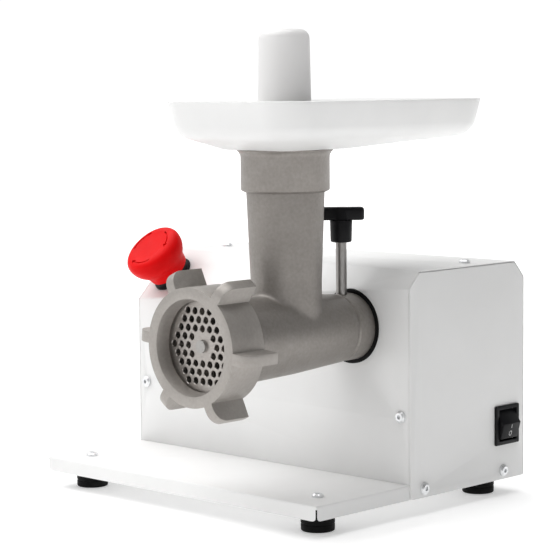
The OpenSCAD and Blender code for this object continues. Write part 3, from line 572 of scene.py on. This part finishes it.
def make_side_panel(side, name, node):
    """Flat side with three tabs behind it, and the switch's opening or a row of vents."""
    outer = side * CASE_W / 2
    inner = side * (CASE_W / 2 - SHEET)
    back = CASE_D - STEP_DOWN
    panel = block(name, (min(outer, inner), 0, 0), (max(outer, inner), back, CASE_H - STEP_DOWN))
    slice_off(panel, (CASE_W / 2, 0, bevel_z(CASE_W / 2, 0)), BEVEL_NORMAL)
    chamfer = Vector((0, CASE_D, CASE_H - CHAMFER_DROP)) - CHAMFER_NORMAL * STEP_DOWN
    slice_off(panel, chamfer, CHAMFER_NORMAL)
    round_edges(
        panel,
        lambda e: lies_along(e, X) and all(here(v).y < 1 and here(v).z < 1 for v in e.verts), 3)
    reach = side * (CASE_W / 2 - SHEET - 22)
    low_x, high_x = min(inner + side * 0.5, reach), max(inner + side * 0.5, reach)
    for tab_low, tab_high in (
        ((SHEET, BASE_H + 3), (2 * SHEET, BASE_H + 91)),
        ((62, CASE_H - 2 * SHEET - 0.1), (108, CASE_H - SHEET - 0.1)),
        ((CASE_D - 2 * SHEET - 0.1, BASE_H + 3), (CASE_D - SHEET - 0.1, BASE_H + 123)),
    ):
        weld(panel, block("tab", (low_x, *tab_low), (high_x, *tab_high)))
    punches = [hole((outer, y, 6.8), X, SCREW_HOLE, 5) for y in (15, 109)]
    if side > 0:
        punches.append(block(
            "punch", (outer - 5, SWITCH.y - 12.4, SWITCH.z - 13.9),
            (outer + 5, SWITCH.y + 12.4, SWITCH.z + 13.9)))
    else:
        for i in range(6):
            y = 48 + i * 10
            punches.append(slot_punch((outer - 5, y, 38), (outer + 5, y + 4, 82), X))
    cut(panel, gather("punches", punches))
    soften(panel, 0.3, 2)
    finish(panel, FINISH["white_enamel"], "white_enamel", "machine", node)


def make_base_plate():
    """Base sheet with its four edges folded down, its front reaching out under the head."""
    half = CASE_W / 2 - SHEET
    back = CASE_D - SHEET - 0.1
    base = block("base_sheet", (-half, -SHELF_D, 0), (half, back, BASE_H))
    edit(base)
    pick(base, "FACE", lambda f: f.normal.z < -0.9)
    bpy.ops.mesh.delete(type="FACE")
    leave()
    round_edges(base, lambda e: all(here(v).z > BASE_H - 0.1 for v in e.verts), 1.4, 4)
    thicken(base, SHEET)
    # Slits where the flanges meet, with the flanges' lower corners rounded
    for side in (-1, 1):
        for y in (-SHELF_D, back):
            slit = block("slit", (side * half - 5, y - 0.6, -2), (side * half + 5, y + 0.6, BASE_H - 2.4))
            away = 1 if (side > 0) == (y < 0) else -1
            edit(slit)
            bpy.ops.transform.rotate(
                value=away * math.pi / 4, orient_axis="Z", center_override=spot((side * half, y, 0)))
            leave()
            cut(base, slit)

    def at_corner(place):
        return abs(abs(place.x) - half) < 4 and min(abs(place.y + SHELF_D), abs(place.y - back)) < 4

    def flange_end(edge):
        a, b = (here(v) for v in edge.verts)
        low = a.z < 0.01 and b.z < 0.01
        return low and at_corner(a) and at_corner(b) and (a - b).length < 2.6

    round_edges(base, flange_end, 2.6, 5)
    punches = [slot_punch((-60 + i * 9, 60, 5), (-56 + i * 9, 110, 20), Z) for i in range(7)]
    punches += [hole((x, y, BASE_H), Z, 2.6, 4) for x in (-FOOT_X, FOOT_X) for y in (FOOT_FRONT, FOOT_BACK)]
    cut(base, gather("punches", punches))
    finish(base, FINISH["white_enamel"], "white_enamel", "machine", "base_plate")


def make_feet():
    """Rubber feet with a rounded tread, a shallow groove and a recess for the screw's head."""
    profile = [(2.6, 7), (5.5, 7), (5.5, 0.4), (5.9, 0)]
    profile += arc(1.2, (11.1, 1.2), -90, 0, 4)
    profile += [(12.35, 4.6), (12.0, 5.0), (12.0, 5.6), (12.4, 6.0), (12.5, FOOT_HEIGHT - 0.8)]
    profile += [(11.8, FOOT_HEIGHT), (3.2, FOOT_HEIGHT), (2.6, FOOT_HEIGHT - 0.5), (2.6, 7)]
    for node, x, y in (
        ("foot_front_left", -FOOT_X, FOOT_FRONT), ("foot_front_right", FOOT_X, FOOT_FRONT),
        ("foot_back_left", -FOOT_X, FOOT_BACK), ("foot_back_right", FOOT_X, FOOT_BACK),
    ):
        foot = turned(node + "_rubber", (x, y, -13), Z, profile, 64, closed=True)
        finish(foot, FINISH["black_rubber"], "black_rubber", "machine", node, smooth=40)


# ------------------------------------------------------------------ switch

def make_switch_housing():
    """Bezel and shell, hollow for the rocker, with the axle's bore."""
    face = SWITCH.x
    corner = Vector((0, BEZEL_W / 2, BEZEL_H / 2))
    bezel = block("switch_bezel", SWITCH + X * 0.02 - corner, SWITCH + X * 2.02 + corner)
    round_edges(bezel, lambda e: lies_along(e, X), 1.2, 4)
    round_edges(bezel, lambda e: all(here(v).x > face + 2 for v in e.verts), 0.7, 3)
    weld(bezel, block("shell", SWITCH + Vector((-23, -12.3, -13.7)), SWITCH + Vector((0.5, 12.3, 13.7))))
    cut(bezel, block("pocket", SWITCH + Vector((-11, -10.8, -12.3)), SWITCH + Vector((9, 10.8, 12.3))))
    cut(bezel, turned("bore", SWITCH - X * 2, Y, [(1.55, -11.8), (1.55, 11.8)], 32))
    soften(bezel, 0.2, 2)
    finish(bezel, FINISH["black_plastic"], "black_plastic", "machine", "switch_housing")


def make_switch_rocker():
    """Roof-shaped rocker on its axle, tilted to one side, with its printed marks."""
    half = 11.1
    ridge = 8.5
    roof = math.radians(25)
    tilt = math.radians(10)
    pivot = SWITCH - X * 2
    rocker = block("rocker", pivot + Vector((-1.5, -10.4, -half)), pivot + Vector((ridge, 10.4, half)))
    top = pivot + X * ridge
    slice_off(rocker, top, Vector((math.cos(roof), 0, math.sin(roof))))
    slice_off(rocker, top, Vector((math.cos(roof), 0, -math.sin(roof))))
    soften(rocker, 0.5, 3, 20)
    weld(rocker, turned("axle", pivot, Y, [(1.5, -11.7), (1.5, 11.7)], 32))
    lower = Vector((math.cos(roof), 0, -math.sin(roof)))
    down = Vector((-math.sin(roof), 0, -math.cos(roof)))
    ring_spot = top + down * 8.2
    mark = turned(
        "off_mark", ring_spot, lower, [(1.5, -0.1), (2.1, -0.1), (2.1, 0.12), (1.5, 0.12), (1.5, -0.1)],
        32, closed=True)
    edit(mark)
    bpy.ops.transform.resize(value=(1, 0.8, 1), center_override=spot(ring_spot))
    leave()
    bar_spot = top + down * 2.4
    line = block("on_mark", bar_spot - Vector((0.12, 0.3, 1.5)), bar_spot + Vector((0.12, 0.3, 1.5)))
    edit(line)
    bpy.ops.transform.rotate(value=-roof, orient_axis="Y", center_override=spot(bar_spot))
    leave()
    marks = gather("rocker_marks", [mark, line])
    for piece in (rocker, marks):
        edit(piece)
        bpy.ops.transform.rotate(value=tilt, orient_axis="Y", center_override=spot(pivot))
        leave()
    finish(rocker, FINISH["black_plastic"], "black_plastic", "rocker", "switch_rocker")
    finish(marks, switch_mark(), "black_plastic", "rocker")


# ------------------------------------------------------------------ stop button

def stop_profile(points):
    return [(r * STOP_SCALE, h * STOP_SCALE) for r, h in points]


def make_stop_collar():
    points = [(7.95, -19), (11, -19), (11, 0.05), (14.4, 0.05), (14.6, 0.3), (14.45, 0.8), (14.2, 1.0)]
    points += [(13.1, 1.0), (12.9, 1.2), (12.9, 7.2), (12.6, 7.5), (11.6, 7.5), (11.35, 7.2)]
    points += [(11.35, 2.9), (7.95, 2.9), (7.95, -19)]
    collar = turned("stop_collar", STOP, BEVEL_NORMAL, stop_profile(points), 96, closed=True)
    finish(collar, FINISH["black_plastic"], "black_plastic", "machine", "estop_collar")


def turn_arrow():
    """Punch for one engraved arrow that runs clockwise round the cap."""
    level = 27.5 * STOP_SCALE
    radius = 14.65 * STOP_SCALE
    middle = STOP + Vector((radius, 0, level))
    punch = block("arrow", middle - Vector((0.65, 0.05, 0)), middle + Vector((0.65, 0.05, 4)))
    edit(punch)
    pick(punch, "FACE", lambda f: f.normal.y > 0.9)
    bpy.ops.mesh.spin(steps=14, angle=math.radians(-58), center=spot(STOP), axis=(0, 0, 1))
    bpy.ops.mesh.select_all(action="SELECT")
    bpy.ops.mesh.normals_make_consistent(inside=False)
    leave()
    bpy.ops.object.select_all(action="DESELECT")
    bpy.ops.mesh.primitive_cylinder_add(
        vertices=3, radius=2.7 * MM, depth=4 * MM,
        location=spot(middle + Vector((0, -1, 2))), rotation=(0, 0, math.pi))
    return weld(punch, named("tip"))


def make_stop_cap():
    """Mushroom with a thick rounded rim, flared underside and a skirt round the collar."""
    points = [(7.95, 18), (7.95, 7.4), (8.3, 7.1), (10.6, 7.1), (11, 7.5), (11, 11.9), (13.3, 11.9)]
    points += [(13.3, 5.3), (13.5, 5.1), (14.0, 5.1), (14.25, 5.35), (14.6, 7.2), (15.0, 9.2), (15.5, 10.7)]
    points += [(16.3, 12.1), (17.4, 13.6), (18.6, 15.3), (19.5, 16.9), (20.2, 18.6), (20.6, 20.4)]
    points += [(20.78, 21.7)]
    points += arc(5.5, (15.3, 23.0), 0, 88, 12)
    points += [(14.0, 28.42), (12.5, 28.22), (11, 28.0), (8, 27.9), (4, 27.82), (0.8, 27.8)]
    cap = turned("stop_mushroom", STOP, Z, stop_profile(points), 128)
    arrow = turn_arrow()
    for turn in (-9, 111, 231):
        alone(arrow)
        bpy.ops.object.duplicate()
        copy = bpy.context.object
        edit(copy)
        bpy.ops.transform.rotate(
            value=math.radians(turn), orient_axis="Z", center_override=spot(STOP))
        leave()
        cut(cap, copy)
    alone(arrow)
    bpy.ops.object.delete()
    lean = Z.rotation_difference(BEVEL_NORMAL).to_matrix().to_4x4()
    about = Matrix.Translation(spot(STOP))
    alone(cap)
    cap.matrix_world = about @ lean @ about.inverted()
    bpy.ops.object.transform_apply(location=True, rotation=True, scale=True)
    finish(cap, FINISH["red_plastic"], "red_plastic", "stop_cap", "estop_cap", smooth=30)


# ------------------------------------------------------------------ grinding head

def make_head_casting():
    """Barrel and feed tube blended into one casting, with a turned collar and bores."""
    seat = COLLAR_Z - COLLAR_H - TUBE.z
    barrel = [(24.4, -17.1), (25.5, -18.3), (BARREL_R, TUBE.y), (31, -133), (31, -136)]
    body = turned("casting", HEAD, Y, barrel, 128)
    tube = [(TUBE_R, 0), (TUBE_R, 39.6), (28.2, seat - 1), (28.3, 105.6)]
    weld(body, turned("tube", TUBE, Z, tube, 128))
    foot = turned("foot", TUBE, Z, [(36, 20), (30, 26), (25.6, 40)], 96)
    slice_off(foot, TUBE + X * 25.5, X)
    slice_off(foot, TUBE - X * 25.5, -X)
    weld(body, foot)
    alone(body)
    skin = body.modifiers.new("skin", "REMESH")
    skin.mode = "VOXEL"
    skin.voxel_size = 1.1 * MM
    bpy.ops.object.modifier_apply(modifier=skin.name)
    joint = body.vertex_groups.new(name="joint")
    for vertex in body.data.vertices:
        p = here(vertex) - TUBE
        from_tube = abs(math.hypot(p.x, p.y) - TUBE_R)
        from_barrel = abs(math.hypot(p.x, p.z) - BARREL_R)
        near = 1 - math.hypot(from_tube, from_barrel) / 15
        if near > 0 and p.z > 0:
            joint.add([vertex.index], min(1.0, near * 1.6), "REPLACE")
    fillet = body.modifiers.new("fillet", "SMOOTH")
    fillet.factor = 0.7
    fillet.iterations = 24
    fillet.vertex_group = "joint"
    bpy.ops.object.modifier_apply(modifier=fillet.name)
    even = body.modifiers.new("even", "SMOOTH")
    even.factor = 0.5
    even.iterations = 4
    bpy.ops.object.modifier_apply(modifier=even.name)
    body.vertex_groups.clear()

    top = COLLAR_Z - TUBE.z - 0.05
    collar = [(20, seat - 1.4), (28.0, seat - 1.4), (31.0, seat), (31.7, seat + 0.35), (32, seat + 1.0)]
    collar += [(32, top - 5.2), (32.35, top - 3.6), (33.3, top - 1.9), (34.5, top - 0.9), (34.6, top - 0.3)]
    collar += [(34.3, top), (20, top)]
    weld(body, turned("collar", TUBE, Z, collar, 128))
    thread = [(30, -133), (31.2, -133), (32.4, -134.0), (38.2, -136), (THREAD_R, -136.4)]
    thread += [(THREAD_R, -151.5), (37.9, -152), (30, -152)]
    weld(body, turned("thread", HEAD, Y, thread, 128))
    weld(body, turned("spigot", HEAD, Y, [(21, -20), (21, 2.4), (20.4, 3)], 96))

    bores = turned("bores", HEAD, Y, [
        (35.05, -158), (35.05, -147.5), (32.5, -147.5), (32.5, -136.5), (27.5, -136.5),
        (22.6, -22.5), (12.05, -22.5), (12.05, 5)], 96)
    socket = COLLAR_Z - 19 - TUBE.z
    weld(bores, turned("throat", TUBE, Z, [(22.5, 0), (22.5, socket), (28, socket), (28, 140)], 96))
    weld(bores, turned("keyway", HEAD - Z * PLATE_R, Y, [(2.05, -158), (2.05, -143.5)], 24))
    cut(body, bores)
    finish(body, FINISH["cast_grey"], "cast_grey", "head", "head_casting", smooth=30)


def make_ring_nut():
    """Ring with six lugs drawn out of its own facets, and a conical mouth."""
    sides = 132
    facet = 2 * math.pi / sides
    front = -HEAD_REACH
    ring = turned("ring", HEAD, Y, [(RING_R, front), (RING_R, front + 30.5)], sides)
    lug_out = 13.5
    first = math.radians(-5)
    edit(ring)
    # The facets are turned so that each lug takes four whole ones
    bpy.ops.transform.rotate(value=-first, orient_axis="Y", center_override=spot(HEAD))
    for i in range(6):
        turn = first + i * math.pi / 3
        out = Vector((math.cos(turn), 0, math.sin(turn)))
        pick(ring, "FACE", lambda f: f.normal.dot(out) > math.cos(facet * 2) and abs(f.normal.y) < 0.1)
        bpy.ops.mesh.extrude_region_move(TRANSFORM_OT_translate={"value": out * lug_out * MM})
    leave()

    def outer_front(edge):
        return all(
            math.hypot(here(v).x - HEAD.x, here(v).z - HEAD.z) > 50 and here(v).y < front + 0.1
            for v in edge.verts) and edge.calc_length() < 3 * MM

    round_edges(ring, outer_front, 10, 8)
    mouth = turned("mouth", HEAD, Y, [
        (34.2, front - 1), (31.9, front + 10.2), (33.6, front + 10.2), (33.6, front + 11.9),
        (38.5, front + 11.9), (38.5, front + 32)], 128)
    cut(ring, mouth)
    soften(ring, 0.45, 2, 28)
    finish(ring, ring_finish, "cast_grey", "ring", "ring_nut", smooth=32)


def plate_holes():
    pitch = 7.1
    row = pitch * math.sqrt(3) / 2
    for j in range(-6, 7):
        for i in range(-6, 7):
            x = pitch * (i + (0 if j % 2 == 0 else 0.5))
            z = row * j
            if 10.2 < math.hypot(x, z) < PLATE_R - 4.6:
                yield x, z


def make_grinding_plate():
    """Round plate drilled on a triangular grid, each hole eased at both faces."""
    front = -HEAD_REACH + 12
    rim = [(4.55, front), (PLATE_R - 0.5, front), (PLATE_R, front + 0.5), (PLATE_R, front + 5.5)]
    rim += [(PLATE_R - 0.5, front + 6), (4.55, front + 6), (4.55, front)]
    plate = turned("hole_plate", HEAD, Y, rim, 128, closed=True)
    punch = turned("punch", HEAD, Y, [
        (3.0, front - 1), (2.75, front), (2.4, front + 0.35), (2.4, front + 5.65),
        (2.75, front + 6), (3.0, front + 7)], 32)
    punches = [punch]
    for x, z in plate_holes():
        alone(punch)
        bpy.ops.object.duplicate()
        copy = bpy.context.object
        edit(copy)
        bpy.ops.transform.translate(value=(x * MM, 0, z * MM))
        leave()
        punches.append(copy)
    alone(punches.pop(0))
    bpy.ops.object.delete()
    notch = turned("notch", HEAD - Z * PLATE_R, Y, [(2.1, front - 1), (2.1, front + 7)], 24)
    cut(plate, gather("punches", punches + [notch]))
    finish(plate, FINISH["blade_steel"], "blade_steel", "head", "grinding_plate", smooth=30)


# ------------------------------------------------------------------ tray and pusher

def make_tray():
    """Drawn-down tray: a rounded rim pulled down ring by ring to its drain."""
    bpy.ops.object.select_all(action="DESELECT")
    bpy.ops.mesh.primitive_plane_add(size=1, location=spot(TRAY_MIDDLE + Z * TRAY_H))
    tray = bpy.context.object
    tray.scale = (TRAY_W * MM, TRAY_L * MM, 1)
    tray = named("feed_tray")
    edit(tray)
    bpy.ops.mesh.bevel(offset=27 * MM, segments=14, affect="VERTICES")
    bpy.ops.mesh.select_all(action="SELECT")
    bottom = 6.2
    round_r = 15.0
    side = [(0.35, TRAY_H - 2.4), (2.7, bottom + round_r - 1.0)]
    for turn in range(8, 69, 6):
        swing = math.radians(turn)
        side.append((
            2.9 + round_r * (1 - math.cos(swing)),
            bottom + round_r * (1 - math.sin(swing)),
        ))
    inset, level = 0.0, TRAY_H
    for next_inset, next_level in side:
        bpy.ops.mesh.extrude_region_move(
            TRANSFORM_OT_translate={"value": Z * (next_level - level) * MM})
        across = (TRAY_W - 2 * next_inset) / (TRAY_W - 2 * inset)
        along = (TRAY_L - 2 * next_inset) / (TRAY_L - 2 * inset)
        bpy.ops.transform.resize(
            value=(across, along, 1), center_override=spot(TRAY_MIDDLE + Z * next_level))
        inset, level = next_inset, next_level
    seat = 68.0
    bpy.ops.mesh.extrude_region_move(TRANSFORM_OT_translate={
        "value": Vector((0, TUBE.y - TRAY_MIDDLE.y, -level)) * MM})
    drain = Vector((TUBE.x, TUBE.y, COLLAR_Z))
    bpy.ops.transform.resize(
        value=(seat / (TRAY_W - 2 * inset), seat / (TRAY_L - 2 * inset), 1), center_override=spot(drain))
    mouth = COLLAR_Z + TRAY_H - 0.1
    pick(tray, "FACE", lambda f: f.normal.z > 0.9 and all(here(v).z > mouth for v in f.verts))
    bpy.ops.mesh.delete(type="FACE")
    leave()
    edit(tray)
    faces = bmesh.from_edit_mesh(tray.data).faces
    if any(f.normal.z > 0.5 and all(abs(here(v).z - COLLAR_Z) < 0.1 for v in f.verts) for f in faces):
        bpy.ops.mesh.flip_normals()
    leave()
    thicken(tray, 2.4)
    spigot = turned("spigot", drain, Z, [
        (27.2, -18.5), (27.95, -17.8), (27.95, 1.8)], 96)
    weld(tray, spigot)
    cut(tray, turned("drain", drain, Z, [(24.1, -19.5), (23.5, -18.2), (23.5, 20)], 96))
    soften(tray, 0.5, 3, 50)
    finish(tray, FINISH["white_plastic"], "white_plastic", "tray_body", "tray", smooth=28)


def make_pusher():
    """Pusher turned in one piece: plunger, wide guard disc and domed handle."""
    handle = 18.3
    top = 85.4
    profile = [(17.5, -93)] + arc(2, (19, -91), -90, -10, 4)
    profile += [(22, 7.9), (22, 8.0), (40.6, 8.0)] + arc(0.9, (40.6, 8.9), -90, 0, 3)
    profile += arc(0.9, (40.6, 11.1), 0, 90, 3)
    profile += [(22.0, 12.05)] + arc(2.2, (21.6, 14.2), 270, 190, 5)
    profile += arc(7, (handle - 7, top - 7), 0, 90, 10) + [(0.8, top)]
    pusher = turned("pusher_body", (TUBE.x, TUBE.y, COLLAR_Z), Z, profile, 128)
    finish(pusher, pusher_finish, "white_plastic", "pusher_body", "pusher", smooth=30)


# ------------------------------------------------------------------ head lock

def make_lock_screw():
    """Steel rod with a T-shaped knob on top."""
    rod_top = 200.0 - LOCK.z
    rod = [(3, 146.5 - LOCK.z), (4, 147.5 - LOCK.z), (4, rod_top - 0.3), (3.7, rod_top)]
    screw = turned("lock_screw", LOCK, Z, rod, 48)
    finish(screw, rod_finish, "zinc_steel", "lock", "lock_rod")
    knob = block("lock_handle", LOCK + Vector((-17.2, -5.4, 16.4)), LOCK + Vector((17.2, 5.4, 26)))
    round_edges(knob, lambda e: lies_along(e, Z), 4.4, 8)
    low, high = LOCK.z + 16.4, LOCK.z + 26
    round_edges(knob, lambda e: all(here(v).z > high - 0.1 for v in e.verts), 2.2, 4)
    round_edges(knob, lambda e: all(here(v).z < low + 0.1 for v in e.verts), 1.6, 3)
    edit(knob)
    bpy.ops.transform.rotate(value=-math.radians(44), orient_axis="Z", center_override=spot(LOCK))
    leave()
    stem = [(6.6, 0)] + arc(1.6, (6.3, 1.6), -70, 0, 4) + [(8.3, 16), (7.0, 16.6), (6.4, 25.9)]
    weld(knob, turned("stem", LOCK, Z, stem, 64))
    soften(knob, 0.6, 3, 40)
    cut(knob, turned("bore", LOCK, Z, [(4.02, -1), (4.02, 12.1)], 48))
    finish(knob, FINISH["black_plastic"], "black_plastic", "lock", "lock_knob", smooth=40)


# ------------------------------------------------------------------ studio

def make_floor():
    bpy.ops.object.select_all(action="DESELECT")
    bpy.ops.mesh.primitive_plane_add(size=14, location=(0, 0, -0.0003))
    floor = bpy.context.object
    floor.name = "floor"
    material = new_finish("pale_floor", (0.8, 0.8, 0.8), 0.0, 0.9)
    mottle(material, 3, (0.795, 0.795, 0.795), (0.805, 0.805, 0.805))
    shader_of(material).inputs["Emission Color"].default_value = (1, 1, 1, 1)
    shader_of(material).inputs["Emission Strength"].default_value = 0.37
    floor.data.materials.append(material)


def make_camera():
    """Camera at the right front, a little above the tray's height, looking slightly down."""
    place = spot((1111.02, -1129.89, 309.0))
    yaw, pitch, roll = (math.radians(a) for a in (44.106, 5.608, -0.549))
    forward = Vector((-math.sin(yaw) * math.cos(pitch), math.cos(yaw) * math.cos(pitch), -math.sin(pitch)))
    level = Vector((math.cos(yaw), math.sin(yaw), 0))
    upright = level.cross(forward)
    right = math.cos(roll) * level + math.sin(roll) * upright
    up = -math.sin(roll) * level + math.cos(roll) * upright
    bpy.ops.object.select_all(action="DESELECT")
    bpy.ops.object.camera_add(location=place)
    camera = bpy.context.object
    turn = Matrix((right, up, -forward)).transposed()
    camera.rotation_euler = turn.to_euler()
    camera.data.sensor_width = 36
    camera.data.lens = 131.97
    camera.data.clip_end = 100
    bpy.context.scene.camera = camera


def make_light():
    """White room that is dimmer to the right, with one broad soft light from above."""
    world = bpy.data.worlds.new("white_room")
    bpy.context.scene.world = world
    world.use_nodes = True
    nodes = world.node_tree.nodes
    links = world.node_tree.links
    glow = nodes["Background"]
    glow.inputs["Color"].default_value = (1, 1, 1, 1)
    where = nodes.new("ShaderNodeTexCoord")
    axes = nodes.new("ShaderNodeSeparateXYZ")
    side = nodes.new("ShaderNodeMapRange")
    side.inputs["From Min"].default_value = -0.5
    side.inputs["From Max"].default_value = 0.7
    side.inputs["To Min"].default_value = 0.74
    side.inputs["To Max"].default_value = 0.14
    links.new(where.outputs["Generated"], axes.inputs["Vector"])
    links.new(axes.outputs["X"], side.inputs["Value"])
    links.new(side.outputs["Result"], glow.inputs["Strength"])
    backdrop = nodes.new("ShaderNodeBackground")
    backdrop.inputs["Color"].default_value = (1, 1, 1, 1)
    backdrop.inputs["Strength"].default_value = 1.05
    rays = nodes.new("ShaderNodeLightPath")
    choose = nodes.new("ShaderNodeMixShader")
    links.new(rays.outputs["Is Camera Ray"], choose.inputs["Fac"])
    links.new(glow.outputs["Background"], choose.inputs[1])
    links.new(backdrop.outputs["Background"], choose.inputs[2])
    links.new(choose.outputs["Shader"], nodes["World Output"].inputs["Surface"])
    bpy.ops.object.select_all(action="DESELECT")
    bpy.ops.object.light_add(type="SUN", location=(0, -1, 2))
    lamp = bpy.context.object
    lamp.name = "top_light"
    lamp.data.energy = 2.75
    lamp.data.angle = math.radians(75)
    lamp.rotation_euler = Vector((-0.25, -0.16, 0.95)).to_track_quat("Z", "Y").to_euler()
    bpy.context.scene.view_settings.view_transform = "Standard"


dress_inner_pieces()
make_front_panel()
make_top_back_cover()
make_side_panel(1, "right_sheet", "right_side_panel")
make_side_panel(-1, "left_sheet", "left_side_panel")
make_base_plate()
make_feet()
make_switch_housing()
make_switch_rocker()
make_stop_collar()
make_stop_cap()
make_head_casting()
make_ring_nut()
make_grinding_plate()
make_tray()
make_pusher()
make_lock_screw()
make_floor()
make_camera()
make_light()
